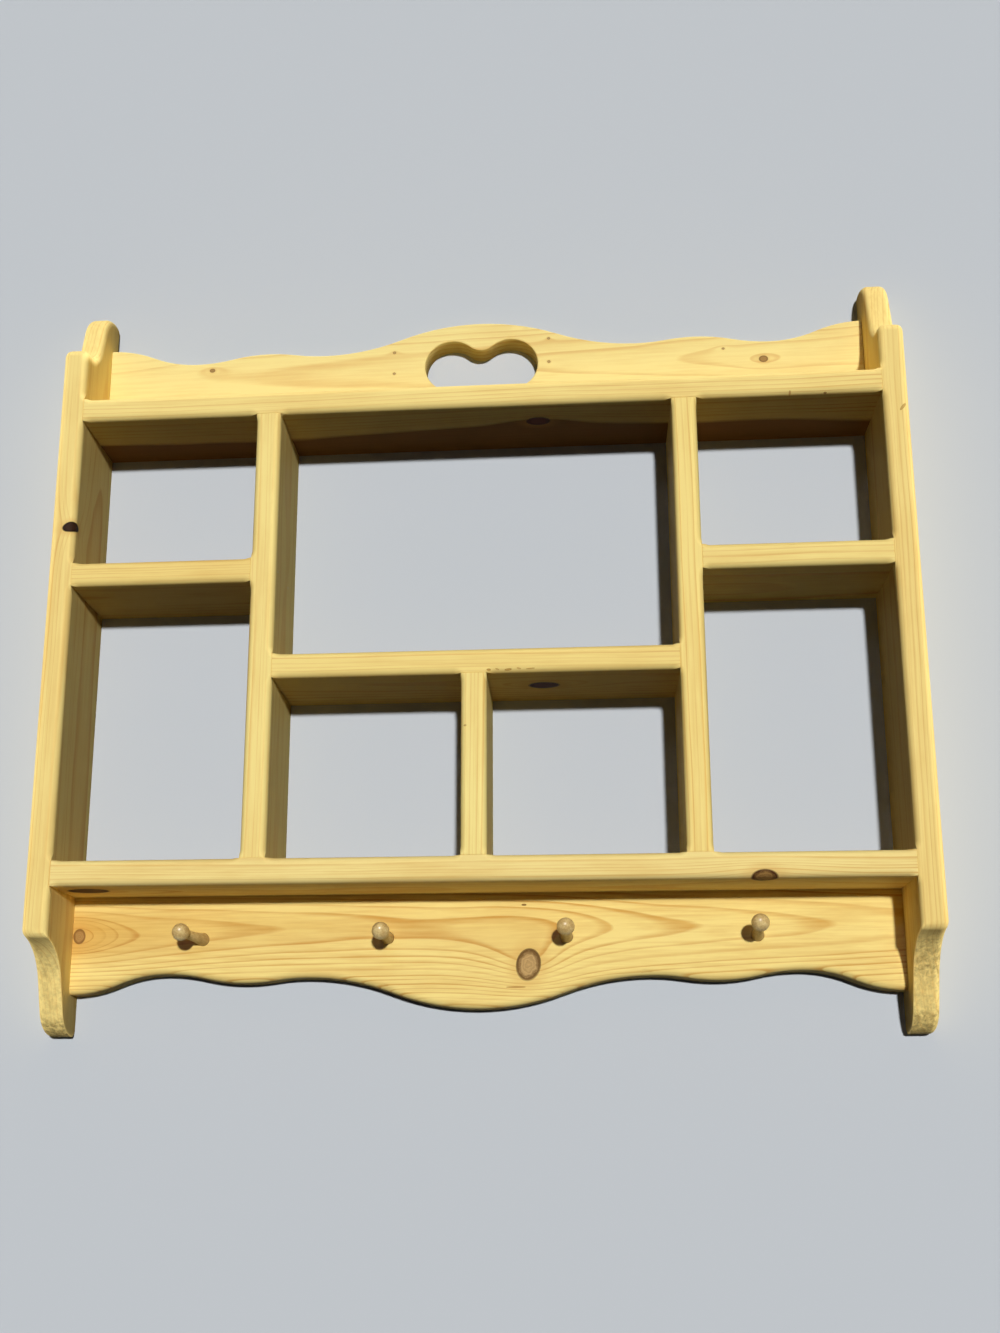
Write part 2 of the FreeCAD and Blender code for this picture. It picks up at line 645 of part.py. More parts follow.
peg_bores = []
for number in (1, 2, 3, 4):
    peg = doc.addObject("PartDesign::Body", f"peg_{number}")
    turning = peg.newObject("PartDesign::Revolution", f"peg_{number}_turning")
    turning.Profile = plane_sketch(peg, "XZ_Plane", f"peg_{number}_section", peg_profile())
    turning.ReferenceAxis = (turning.Profile[0], ["V_Axis"])
    turning.Angle = 360
    lean = FreeCAD.Rotation(V(0, 0, 1), size(f"peg_{number}_lean"))
    rise = FreeCAD.Rotation(V(1, 0, 0), 90 - size(f"peg_{number}_rise"))
    turn = lean * rise
    place = (f"sizes.peg_{number}_place", "-sizes.board", f"{UNDER_FLOOR} - sizes.peg_drop")
    peg.Placement.Rotation = turn
    bind(peg, at(*place))
    inward = turn.multVec(V(0, 0, -1))
    bore_depth = "(sizes.peg_tenon + sizes.dowel_end_gap)"
    bore_end = [f"{start} + ({along}) * {bore_depth}" for start, along in zip(place, inward)]
    peg_bores.append(cylinder(
        f"peg_{number}_bore", "sizes.peg_shank_diameter / 2 + sizes.glue_gap",
        f"2 * {bore_depth}", bore_end, turn))
    keep(f"peg_{number}", peg)


# Hangers. Two steel keyhole plates are let in flush with the back of the top rail, over pockets
# that leave room for the wall screws' heads, and each is held by two countersunk screws.
def upright_slot(name, x, width, length, rise, thickness):
    """A slot-shaped solid from the wall plane forwards, centred at a place along the wall."""
    shapes = obround(value(width), value(length), V(0, value(rise), 0))
    body = padded(name, "XZ_Plane", shapes, thickness)
    bind(body, {"Placement.Base.x": x})
    return body


def cone(name, wide, narrow, height, place):
    """A cone that narrows forwards from the wall plane."""
    taper = doc.addObject("Part::Cone", name)
    taper.Placement.Rotation = UPRIGHT
    bind(taper, {"Radius1": wide, "Radius2": narrow, "Height": height, **at(*place)})
    return taper


def fuse(name, things):
    """Overlapping solids made one."""
    whole = doc.addObject("Part::MultiFuse", name)
    whole.Shapes = things
    return whole


def screw(name, x, z):
    """A slotted countersunk wood screw, flush with the wall plane, and the pilot bore it sits in."""
    radius, head = "sizes.screw_diameter / 2", "sizes.screw_head_diameter / 2"
    sink = f"({head} - {radius})"
    shank = f"(sizes.screw_length - {sink} - sizes.screw_tip)"
    parts = [
        cone(f"{name}_head", head, radius, sink, (x, "0", z)),
        cylinder(f"{name}_shank", radius, shank, (x, f"-{sink}", z), UPRIGHT),
        cone(f"{name}_tip", radius, "0", "sizes.screw_tip", (x, f"-{sink} - {shank}", z)),
    ]
    slot = doc.addObject("Part::Box", f"{name}_slot")
    bind(slot, {
        "Length": "sizes.screw_head_diameter",
        "Width": "sizes.screw_slot",
        "Height": "sizes.screw_slot",
        **at(f"{x} - {head}", "-sizes.screw_slot", f"{z} - sizes.screw_slot / 2"),
    })
    pilot = cylinder(
        f"{name}_pilot", f"{radius} + sizes.glue_gap / 2", "sizes.screw_length + sizes.dowel_end_gap",
        (x, "0", z), UPRIGHT)
    return cut(f"{name}_slotted", fuse(f"{name}_solid", parts), [slot]), pilot


hanger_cuts, screws = [], []
HANGER = "(sizes.overall_width / 2 - sizes.hanger_inset)"
for name, x in (("left", f"-{HANGER}"), ("right", HANGER)):
    hanger = f"{name}_hanger_plate"
    rise, thickness = "sizes.plate_centre_rise", "sizes.plate_thickness"
    blank = upright_slot(f"{hanger}_blank", x, "sizes.plate_width", "sizes.plate_length", rise, thickness)
    recess = upright_slot(
        f"{hanger}_recess", x, "sizes.plate_width + 2 * sizes.plate_gap",
        "sizes.plate_length + 2 * sizes.plate_gap", rise, thickness)
    pocket = upright_slot(
        f"{hanger}_pocket", x, "sizes.head_pocket_width", "sizes.head_pocket_width + sizes.keyhole_travel",
        "sizes.keyhole_travel / 2", "sizes.head_pocket_depth")
    slot = upright_slot(
        f"{hanger}_slot", x, "sizes.keyhole_slot", "sizes.keyhole_slot + sizes.keyhole_travel",
        "sizes.keyhole_travel / 2", thickness)
    entry = cylinder(f"{hanger}_entry", "sizes.keyhole_diameter / 2", thickness, (x, "0", "0"), UPRIGHT)
    holes = [fuse(f"{hanger}_keyhole", [slot, entry])]
    pilots = []
    for end, way in (("upper", "+"), ("lower", "-")):
        z = f"({rise} {way} sizes.screw_spacing / 2)"
        steel, pilot = screw(f"{name}_{end}_screw", x, z)
        screws.append(steel)
        pilots.append(pilot)
        clear = "sizes.plate_gap / 2"
        wide = f"sizes.screw_head_diameter / 2 + {clear}"
        holes.append(cone(f"{hanger}_{end}_sink", wide, f"{wide} - {thickness}", thickness, (x, "0", z)))
    keep(hanger, cut(hanger, blank, holes))
    hanger_cuts.append(fuse(f"{hanger}_seat", [recess, pocket, *pilots]))
keep("hanger_screws", compound("hanger_screws", screws))

keep("top_rail", cut("top_rail", top_rail_board, hanger_cuts + bores["top_rail"]))
keep("peg_rail", cut("peg_rail", peg_rail_board, peg_bores + bores["peg_rail"]))

doc.recompute()
faults = [item.Name for item in doc.Objects if "Invalid" in item.State or "Error" in item.State]
for name, piece in nodes.items():
    if piece.Shape.isNull() or not piece.Shape.isValid() or not piece.Shape.Solids:
        faults.append(name)
if faults:
    raise ValueError(f"failed: {faults}")

os.makedirs("parts", exist_ok=True)
for name, piece in nodes.items():
    piece.Shape.exportStep(f"parts/{name}.step")
    box = piece.Shape.BoundBox
    print(f"{name}: {len(piece.Shape.Solids)} solids, {piece.Shape.Volume / 1000:.1f} cm3, "
          f"x {box.XMin:.1f} to {box.XMax:.1f}, y {box.YMin:.1f} to {box.YMax:.1f}, "
          f"z {box.ZMin:.1f} to {box.ZMax:.1f}")
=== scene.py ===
import math

import bmesh
import bpy
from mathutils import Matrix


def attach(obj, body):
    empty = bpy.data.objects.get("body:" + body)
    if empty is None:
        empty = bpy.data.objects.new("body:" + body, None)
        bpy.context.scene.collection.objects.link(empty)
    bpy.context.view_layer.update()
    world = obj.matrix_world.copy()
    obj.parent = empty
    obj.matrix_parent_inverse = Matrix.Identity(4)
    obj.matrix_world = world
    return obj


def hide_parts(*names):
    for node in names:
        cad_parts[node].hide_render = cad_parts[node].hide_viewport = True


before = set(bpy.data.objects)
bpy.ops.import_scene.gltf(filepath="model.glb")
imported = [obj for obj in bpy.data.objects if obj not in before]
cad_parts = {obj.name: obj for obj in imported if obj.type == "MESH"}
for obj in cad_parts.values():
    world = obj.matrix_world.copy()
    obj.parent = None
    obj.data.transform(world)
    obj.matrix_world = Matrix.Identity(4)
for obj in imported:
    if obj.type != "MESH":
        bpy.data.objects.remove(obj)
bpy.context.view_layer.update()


# Sides. Two planed pine boards, sawn at both ends to a narrow horn, an ear above and a foot below.
# Their edges were rounded with a bearing bit after glue-up, and the whole shelf has a satin varnish
# that has turned yellow. The feet are the parts that get knocked and grimy, and the darker band
# just under each lip is painted shade.
def eased(node, name, width, material, overshoot=0):
    """A copy of a CAD piece with its triangles joined, its sharp edges eased and its curves smooth."""
    same_place = 1e-6
    flat_within = math.radians(0.2)
    sharp_over = math.radians(50)
    smooth_under = math.radians(40)
    piece = bpy.data.objects.new(name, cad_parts[node].data.copy())
    bpy.context.scene.collection.objects.link(piece)
    bpy.ops.object.select_all(action="DESELECT")
    piece.select_set(True)
    bpy.context.view_layer.objects.active = piece
    bpy.ops.mesh.customdata_custom_splitnormals_clear()
    bpy.ops.object.mode_set(mode="EDIT")
    bpy.ops.mesh.select_all(action="SELECT")
    bpy.ops.mesh.remove_doubles(threshold=same_place)
    bpy.ops.mesh.dissolve_limited(angle_limit=flat_within)
    bpy.ops.mesh.select_mode(type="EDGE")
    bpy.ops.mesh.select_all(action="DESELECT")
    for edge in bmesh.from_edit_mesh(piece.data).edges:
        if edge.is_convex and edge.calc_face_angle(0) > sharp_over:
            edge.select = True
    bmesh.update_edit_mesh(piece.data)
    bpy.ops.mesh.bevel(offset=width, segments=2, clamp_overlap=False, loop_slide=False, miter_outer="ARC")
    # Where a board runs out to a thin tip, the easing passes itself a little and is closed up
    if overshoot:
        bpy.ops.mesh.select_all(action="SELECT")
        bpy.ops.mesh.dissolve_degenerate(threshold=overshoot)
    # The broad planed faces of over 1 cm2 keep a flat shading of their own, beside the roundings
    broad_area = 0.0001
    square_on = 0.9999
    bpy.ops.mesh.select_all(action="DESELECT")
    for face in bmesh.from_edit_mesh(piece.data).faces:
        if face.calc_area() > broad_area and max(abs(part) for part in face.normal) > square_on:
            for edge in face.edges:
                edge.select = True
    bmesh.update_edit_mesh(piece.data)
    bpy.ops.mesh.mark_sharp()
    bpy.ops.object.mode_set(mode="OBJECT")
    bpy.ops.object.shade_smooth_by_angle(angle=smooth_under)
    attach(piece, "root")
    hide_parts(node)
    piece.data.materials.clear()
    piece.data.materials.append(material)


def linear(srgb):
    """An sRGB hex colour as the linear colour that a shader reads."""
    channels = [int(srgb[start:start + 2], 16) / 255 for start in (0, 2, 4)]
    return [c / 12.92 if c <= 0.04045 else ((c + 0.055) / 1.055) ** 2.4 for c in channels] + [1]


def feed(tree, node, inputs):
    """Gives each input of a node its number, its colour or a link."""
    for socket, value in inputs.items():
        if isinstance(value, bpy.types.Node):
            value = value.outputs[0]
        if isinstance(value, bpy.types.NodeSocket):
            tree.links.new(value, node.inputs[socket])
        else:
            node.inputs[socket].default_value = value


def add_node(tree, kind, inputs, **settings):
    """One node, with its settings and what goes into it."""
    made = tree.nodes.new(kind)
    for setting, value in settings.items():
        setattr(made, setting, value)
    feed(tree, made, inputs)
    return made


def new_material(name):
    """A material, its node tree, the tree's shader and the piece's own coordinates in metres."""
    material = bpy.data.materials.new(name)
    material.use_nodes = True
    tree = material.node_tree
    place = add_node(tree, "ShaderNodeTexCoord", {}).outputs["Object"]
    return material, tree, tree.nodes["Principled BSDF"], place


# Varnished pine: pale, soft spring wood between thin amber lines of summer wood, which wander a
# little and swirl round the knots. The varnish gives it a low, even gloss. Its functions take mm
# and degrees.
def pine_log(tree, place, grain, pith, lean, slope):
    """Places in a log that lies along x, the noise of its bends, and the distance from the pith."""
    depth, across = pith
    turn = 0
    if grain == "Z":
        turn = 90
        across = -across
    log = add_node(tree, "ShaderNodeMapping", {
        "Vector": place,
        "Location": (0, -depth / 1000, -across / 1000),
        "Rotation": (0, math.radians(turn + slope), math.radians(lean)),
    })
    bend_length = 333
    bend_width = 100
    bend_reach = 12
    slow = add_node(tree, "ShaderNodeVectorMath", {
        0: log, 1: (1000 / bend_length, 1000 / bend_width, 1000 / bend_width)}, operation="MULTIPLY")
    bends = add_node(tree, "ShaderNodeTexNoise", {"Vector": slow, "Scale": 1, "Detail": 3, "Roughness": 0.45})
    bent = add_node(tree, "ShaderNodeVectorMath", {
        0: bends.outputs["Color"], 1: (0, bend_reach / 1000, bend_reach / 1000), 2: log,
    }, operation="MULTIPLY_ADD")
    round_pith = add_node(tree, "ShaderNodeVectorMath", {0: bent, 1: (0, 1, 1)}, operation="MULTIPLY")
    radius = add_node(tree, "ShaderNodeVectorMath", {0: round_pith}, operation="LENGTH").outputs["Value"]
    return log, bends, radius


def dip_round_knots(tree, place, radius, grain, knots):
    """The radius, which dips round each knot, and each knot with how far away it is, in its own reach."""
    fade = 0.3
    flow = (0.5, 1, 1) if grain == "X" else (1, 1, 0.5)
    branches = []
    for centre, reach, tilt, push, core, rim in knots:
        branch = add_node(tree, "ShaderNodeMapping", {
            "Vector": place,
            "Location": [c / 1000 for c in centre],
            "Rotation": (0, math.radians(tilt), 0),
            "Scale": [r / 1000 for r in reach],
        }, vector_type="TEXTURE")
        away = add_node(tree, "ShaderNodeVectorMath", {0: branch}, operation="LENGTH").outputs["Value"]
        branches.append((away, push, core, rim))
        # A mark with no push is only a nick or a speck in the varnish
        if push:
            swirl = add_node(tree, "ShaderNodeVectorMath", {0: branch, 1: flow}, operation="MULTIPLY")
            swirl = add_node(tree, "ShaderNodeVectorMath", {0: swirl, 1: swirl}, operation="DOT_PRODUCT")
            swirl = add_node(tree, "ShaderNodeMath", {
                0: swirl.outputs["Value"], 1: fade, 2: 1}, operation="MULTIPLY_ADD")
            dip = add_node(tree, "ShaderNodeMath", {0: push / 1000, 1: swirl}, operation="DIVIDE")
            radius = add_node(tree, "ShaderNodeMath", {0: radius, 1: dip}, operation="SUBTRACT").outputs[0]
    return radius, branches


def year_rings(tree, radius, bends, ring):
    """Yearly rings of unequal width and strength, pale at first and darkest at the end of each year."""
    # Spells of good and poor years, 11 mm of growth each, put the rings about two years out of step
    spell = 11.1
    out_of_step = 2.2
    gradual = 0.3
    spells = add_node(tree, "ShaderNodeTexNoise", {"W": radius, "Scale": 1000 / spell, "Detail": 1},
                      noise_dimensions="1D")
    years = add_node(tree, "ShaderNodeMath", {0: radius, 1: 1000 / ring}, operation="MULTIPLY")
    years = add_node(tree, "ShaderNodeMath", {0: spells, 1: out_of_step, 2: years}, operation="MULTIPLY_ADD")
    season = add_node(tree, "ShaderNodeMath", {0: years}, operation="FRACT")
    year = add_node(tree, "ShaderNodeMath", {0: years}, operation="FLOOR")
    growth = add_node(tree, "ShaderNodeTexWhiteNoise", {"W": year}, noise_dimensions="1D")
    darkening = add_node(tree, "ShaderNodeMapRange", {
        "Value": season, "From Min": 0.62, "From Max": 0.9}, interpolation_type="SMOOTHSTEP")
    darkening = add_node(tree, "ShaderNodeMath", {
        0: season, 1: gradual, 2: darkening}, operation="MULTIPLY_ADD")
    winter = add_node(tree, "ShaderNodeMapRange", {"Value": season, "From Min": 1, "From Max": 0.93})
    strength = add_node(tree, "ShaderNodeMapRange", {"Value": growth, "To Min": 0.3, "To Max": 0.85})
    fading = add_node(tree, "ShaderNodeMapRange", {
        "Value": bends, "From Min": 0.35, "From Max": 0.65, "To Min": 0.5, "To Max": 1.1})
    rings = add_node(tree, "ShaderNodeMath", {0: darkening, 1: winter}, operation="MULTIPLY")
    rings = add_node(tree, "ShaderNodeMath", {0: rings, 1: strength}, operation="MULTIPLY")
    return add_node(tree, "ShaderNodeMath", {0: rings, 1: fading}, operation="MULTIPLY")


def knot_wood(tree, place, bends, branches, colour):
    """Knots with rings of their own, darker towards the rim, and a broken line of bark round each."""
    mottle_size = 3.03
    wobble = 0.5
    rings_in_reach = 4
    bark_at = 0.98
    bark_half = 0.07
    mottle = add_node(tree, "ShaderNodeTexNoise", {"Vector": place, "Scale": 1000 / mottle_size, "Detail": 3})
    for away, push, core, rim in branches:
        if push:
            stain = add_node(tree, "ShaderNodeMapRange", {
                "Value": away, "From Min": 2.2, "From Max": 1, "To Max": 0.35,
            }, interpolation_type="SMOOTHSTEP")
            colour = add_node(tree, "ShaderNodeMix", {
                0: stain, 6: colour, 7: linear("D9A556")}, data_type="RGBA").outputs[2]
        uneven = add_node(tree, "ShaderNodeMath", {0: mottle, 1: wobble, 2: away}, operation="MULTIPLY_ADD")
        turns = add_node(tree, "ShaderNodeMath", {0: uneven, 1: rings_in_reach}, operation="MULTIPLY")
        turns = add_node(tree, "ShaderNodeMath", {0: turns}, operation="FRACT")
        darker = add_node(tree, "ShaderNodeMapRange", {
            "Value": uneven, "From Min": 0.8, "From Max": 1.2}, interpolation_type="SMOOTHSTEP")
        darker = add_node(tree, "ShaderNodeMath", {
            0: turns, 1: 0.4, 2: darker}, operation="MULTIPLY_ADD", use_clamp=True)
        wood = add_node(tree, "ShaderNodeMix", {
            0: darker, 6: linear(core), 7: linear(rim)}, data_type="RGBA").outputs[2]
        inside = add_node(tree, "ShaderNodeMapRange", {
            "Value": away, "From Min": 1.06, "From Max": 0.9}, interpolation_type="SMOOTHSTEP")
        colour = add_node(tree, "ShaderNodeMix", {0: inside, 6: colour, 7: wood}, data_type="RGBA").outputs[2]
        if push:
            bark = add_node(tree, "ShaderNodeMath", {0: away, 1: bark_at, 2: bark_half}, operation="COMPARE")
            broken = add_node(tree, "ShaderNodeMapRange", {
                "Value": bends, "From Min": 0.45, "From Max": 0.6, "To Min": 0.1, "To Max": 0.7})
            bark = add_node(tree, "ShaderNodeMath", {0: bark, 1: broken}, operation="MULTIPLY")
            colour = add_node(tree, "ShaderNodeMix", {
                0: bark, 6: colour, 7: linear("4E3318")}, data_type="RGBA").outputs[2]
    return colour


def dirt_and_painted_shade(tree, place, grubby, colour):
    """Dirt, and painted shade just under the lip, rubbed in blotches into the sawn curve of a side,
    between two heights and by an amount.
    """
    blotch_size = 3.57
    forward_and_down = (0, -0.8, -0.6)
    # The dirt hardly gets on the broad faces and the back, which hands and cloths keep clean, and the
    # painted shade under the lip is kept to the same sawn faces
    normal = add_node(tree, "ShaderNodeNewGeometry", {}).outputs["Normal"]
    outward = add_node(tree, "ShaderNodeVectorMath", {
        0: normal, 1: forward_and_down}, operation="DOT_PRODUCT").outputs["Value"]
    sawn = add_node(tree, "ShaderNodeMapRange", {
        "Value": outward, "From Min": 0.2, "From Max": 0.55, "To Min": 0.08, "To Max": 1})
    blotches = add_node(tree, "ShaderNodeTexNoise", {
        "Vector": place, "Scale": 1000 / blotch_size, "Detail": 5, "Roughness": 0.65, "Distortion": 0.3})
    blotchy_sawn_faces = add_node(tree, "ShaderNodeMapRange", {"Value": blotches, "From Min": 0.4, "From Max": 0.7})
    blotchy_sawn_faces = add_node(tree, "ShaderNodeMath", {0: blotchy_sawn_faces, 1: sawn}, operation="MULTIPLY")
    height = add_node(tree, "ShaderNodeSeparateXYZ", {0: place}).outputs["Z"]
    # Each band mixes in a dark brown: the band just under the lip is painted shade, the others are dirt
    for low, high, amount in grubby:
        middle = (low + high) / 2 / 1000
        half = (high - low) / 2 / 1000
        off = add_node(tree, "ShaderNodeMath", {0: height, 1: middle}, operation="SUBTRACT")
        off = add_node(tree, "ShaderNodeMath", {0: off}, operation="ABSOLUTE")
        reach = add_node(tree, "ShaderNodeMapRange", {
            "Value": off, "From Min": half, "From Max": half / 3, "To Max": amount,
        }, interpolation_type="SMOOTHSTEP")
        dirt_and_shade = add_node(tree, "ShaderNodeMath", {0: reach, 1: blotchy_sawn_faces}, operation="MULTIPLY")
        colour = add_node(tree, "ShaderNodeMix", {
            0: dirt_and_shade, 6: colour, 7: linear("785C2E")}, data_type="RGBA").outputs[2]
    return colour


def varnished_pine(name, grain, pith, lean, slope, ring, spring, summer, knots=(), heart=None, grubby=()):
    """Pine from a log whose pith, at a depth and a place across, runs along the grain at a lean and a slope.

    The rings have a width and the colours of spring and summer wood. A knot has a centre, a reach on
    each axis, a tilt, a push on the rings and the colours of core and rim. The heartwood has a reach
    from the pith, a blur and a tint. A band of dirt, or of painted shade under a lip, has a low end,
    a high end and an amount.
    """
    material, tree, shader, place = new_material(name)
    log, bends, radius = pine_log(tree, place, grain, pith, lean, slope)
    radius, branches = dip_round_knots(tree, place, radius, grain, knots)
    rings = year_rings(tree, radius, bends, ring)

    # Fibres, drawn 2 mm wide where the real ones are far finer, and cloudy patches
    fibre_length = 71.4
    fibre_width = 2
    cloud_length = 100
    cloud_width = 31.25
    ring_weight = 0.95
    fine = add_node(tree, "ShaderNodeVectorMath", {
        0: log, 1: (1000 / fibre_length, 1000 / fibre_width, 1000 / fibre_width)}, operation="MULTIPLY")
    fibres = add_node(tree, "ShaderNodeTexNoise", {"Vector": fine, "Scale": 1, "Detail": 3, "Roughness": 0.6})
    broad = add_node(tree, "ShaderNodeVectorMath", {
        0: log, 1: (1000 / cloud_length, 1000 / cloud_width, 1000 / cloud_width)}, operation="MULTIPLY")
    clouds = add_node(tree, "ShaderNodeTexNoise", {
        "Vector": broad, "Scale": 1, "Detail": 5, "Roughness": 0.62})
    fibre_tone = add_node(tree, "ShaderNodeMapRange", {
        "Value": fibres, "From Min": 0.3, "From Max": 0.7, "To Min": -0.2, "To Max": 0.24}, clamp=False)
    cloud_tone = add_node(tree, "ShaderNodeMapRange", {
        "Value": clouds, "From Min": 0.3, "From Max": 0.7, "To Min": -0.14, "To Max": 0.3}, clamp=False)
    tone = add_node(tree, "ShaderNodeMath", {
        0: rings, 1: ring_weight, 2: fibre_tone}, operation="MULTIPLY_ADD")
    tone = add_node(tree, "ShaderNodeMath", {0: tone, 1: cloud_tone}, operation="ADD", use_clamp=True)
    colour = add_node(tree, "ShaderNodeMix", {
        0: tone, 6: linear(spring), 7: linear(summer)}, data_type="RGBA").outputs[2]

    if heart:
        reach, blur, tint = heart
        core = add_node(tree, "ShaderNodeMapRange", {
            "Value": radius, "From Min": (reach + blur) / 1000, "From Max": (reach - blur) / 1000,
        }, interpolation_type="SMOOTHSTEP")
        colour = add_node(tree, "ShaderNodeMix", {
            0: core, 6: colour, 7: linear(tint)}, data_type="RGBA", blend_type="MULTIPLY").outputs[2]
    colour = knot_wood(tree, place, bends, branches, colour)
    if grubby:
        colour = dirt_and_painted_shade(tree, place, grubby, colour)
    gloss = add_node(tree, "ShaderNodeMapRange", {"Value": tone, "To Min": 0.68, "To Max": 0.57})
    bump = add_node(tree, "ShaderNodeBump", {"Height": fibres, "Strength": 0.1, "Distance": 0.0003})
    feed(tree, shader, {
        "Base Color": colour, "Roughness": gloss, "Normal": bump, "IOR": 1.5, "Specular IOR Level": 0.1})
    return material


edge_easing = 0.0004
# The first band of each side, just under the lip, is painted shade; the others are dirt on the tip and the
# foot
eased("left_side", "left_side_board", edge_easing, varnished_pine(
    "varnished_pine_left_side", grain="Z", pith=(-20, -380), lean=0.6, slope=0.4, ring=3.2,
    spring="F8DE8C", summer="E2B664",
    knots=[((-295, -69, -125), (6.5, 8, 4), -14, 5, "3A2416", "1F120A")],
    grubby=[(-452, -424, 0.22), (-503, -474, 0.9), (-500, -424, 0.3)]))
eased("right_side", "right_side_board", edge_easing, varnished_pine(
    "varnished_pine_right_side", grain="Z", pith=(-50, 372), lean=-0.5, slope=-0.3, ring=3,
    spring="F7DC8A", summer="E1B562",
    knots=[((305, -69, -54), (1.1, 3, 3.6), 38, 0, "CDA75E", "BF974C")],
    grubby=[(-458, -422, 0.55), (-504, -468, 0.6), (-500, -424, 0.4)]))


# Shelves and dividers. Plain pine boards, butted between their neighbours and dowelled, with the
# rounding of the front edges run through every inside corner after they were glued up.
boards = {
    "top_shelf": dict(
        grain="X", pith=(-8, -110), lean=0.3, slope=0.2, ring=2.8, spring="F9E08E", summer="E3B866",
        knots=[
            ((46, -42.5, -40), (9, 6, 8), 0, 5, "5A2A10", "3A1808"),
            ((227, -68, -39), (0.7, 3, 1.6), 0, 0, "C9A060", "B58A4A"),
            ((252, -68, -39.6), (1.3, 2, 0.6), 0, 0, "B58A4A", "9A7038"),
        ],
        heart=(77.6, 0.5, "A0806C")),
    "bottom_shelf": dict(
        grain="X", pith=(-30, -452), lean=-0.3, slope=0.3, ring=2.6, spring="F8E092", summer="DFB260",
        knots=[
            ((193, -69, -391), (9, 12, 6), 0, 6, "9C7640", "4E3018"),
            ((-272, -47, -391), (15, 9, 8), 0, 6, "5A3A1C", "3A2310"),
        ]),
    "middle_shelf": dict(
        grain="X", pith=(-45, -170), lean=0.4, slope=-0.2, ring=3, spring="F8DE8A", summer="E2B866",
        knots=[
            ((48, -37, -244), (11, 7, 8), 0, 6, "48220E", "2A1206"),
            ((10.5, -69, -242.2), (1.6, 2, 0.8), 0, 0, "C9A052", "B08440"),
            ((16.5, -69, -241.8), (1.4, 2, 0.5), 20, 0, "D8B268", "C69C50"),
            ((24, -69, -242.2), (2.6, 2, 0.7), -6, 0, "CFA558", "B98E46"),
            ((31.5, -69, -241.6), (1.6, 2, 0.5), 12, 0, "D8B268", "C69C50"),
            ((39.5, -69, -241.9), (3.2, 2, 0.4), -4, 0, "D2AA5E", "BE944A"),
        ]),
    "left_small_shelf": dict(
        grain="X", pith=(-40, -232), lean=0.5, slope=0.4, ring=2.7, spring="F6DA86", summer="DFB15E"),
    "right_small_shelf": dict(
        grain="X", pith=(-25, -92), lean=-0.4, slope=0.3, ring=3.1, spring="F9E18E", summer="E4BA68"),
    "left_divider": dict(
        grain="Z", pith=(-30, -80), lean=0.5, slope=0.2, ring=3, spring="FAE390", summer="E6BC6A",
        knots=[
            ((-142.5, -60, -161), (1, 1, 1.3), 0, 0, "F3E6BC", "EBD9A4"),
            ((-142.5, -24.7, -159.6), (1, 1, 1.3), 0, 0, "F3E6BC", "EBD9A4"),
        ]),
    "right_divider": dict(
        grain="Z", pith=(-45, 88), lean=-0.4, slope=0.3, ring=3.2, spring="FAE18C", summer="E5BA64"),
    "centre_divider": dict(
        grain="Z", pith=(-35, -62), lean=0.3, slope=-0.3, ring=2.8, spring="FAE592", summer="E7BE6A",
        knots=[((-5.8, -69, -282), (1.1, 3, 0.7), 0, 0, "C9A65C", "BF974C")]),
}
tip_overshoot = 0.00008
for node, cut in boards.items():
    eased(node, f"{node}_board", edge_easing, varnished_pine(f"varnished_pine_{node}", **cut),
          overshoot=tip_overshoot)


# Rails. Two flat-sawn pine boards, sawn to one scrolled outline, with the round bellies of the
# rings on their faces. The top rail has a heart cut through it and the peg rail carries the pegs.
top_rail_easing = 0.0012
eased("top_rail", "top_rail_board", top_rail_easing, varnished_pine(
    "varnished_pine_top_rail", grain="X", pith=(20, 27), lean=1.4, slope=0.5, ring=4,
    spring="F5E194", summer="E3C074",
    knots=[
        ((-210, -18, 27), (2.2, 10, 1.7), 0, 4, "A4844E", "8A6838"),
        ((-66, -18, 36), (1.2, 8, 1.1), 0, 2, "B89A60", "9C7C48"),
        ((-66, -18, 18), (1.1, 8, 1), 0, 2, "B89A60", "9C7C48"),
        ((54, -18, 43), (1.1, 8, 1), 0, 2, "B89A60", "9C7C48"),
        ((54, -18, 23), (1.2, 8, 1.1), 0, 2, "B89A60", "9C7C48"),
        ((217, -18, 18), (3.4, 10, 2.7), 0, 5, "A8844C", "866434"),
        ((187, -18, 28), (1.1, 8, 0.9), 0, 2, "B89A60", "9C7C48"),
    ]))
eased("peg_rail", "peg_rail_board", edge_easing, varnished_pine(
    "varnished_pine_peg_rail", grain="X", pith=(14, -408), lean=-1.8, slope=0.4, ring=3,
    spring="F9E08C", summer="D8A856",
    knots=[
        ((34.5, -18, -441), (8.3, 40, 11), 10, 13, "C8A46A", "7A5A30"),
        ((-287, -18, -418.5), (4.5, 30, 5.5), 0, 12, "B48A4E", "8A6232"),
        ((31.7, -18, -399), (1.8, 1, 0.7), 0, 0, "8A6838", "7A5A2E"),
        ((25.7, -18, -456.4), (7, 2, 0.6), 0, 0, "C79A52", "B98A45"),
    ],
    heart=(20, 10, "E6D0B2")))
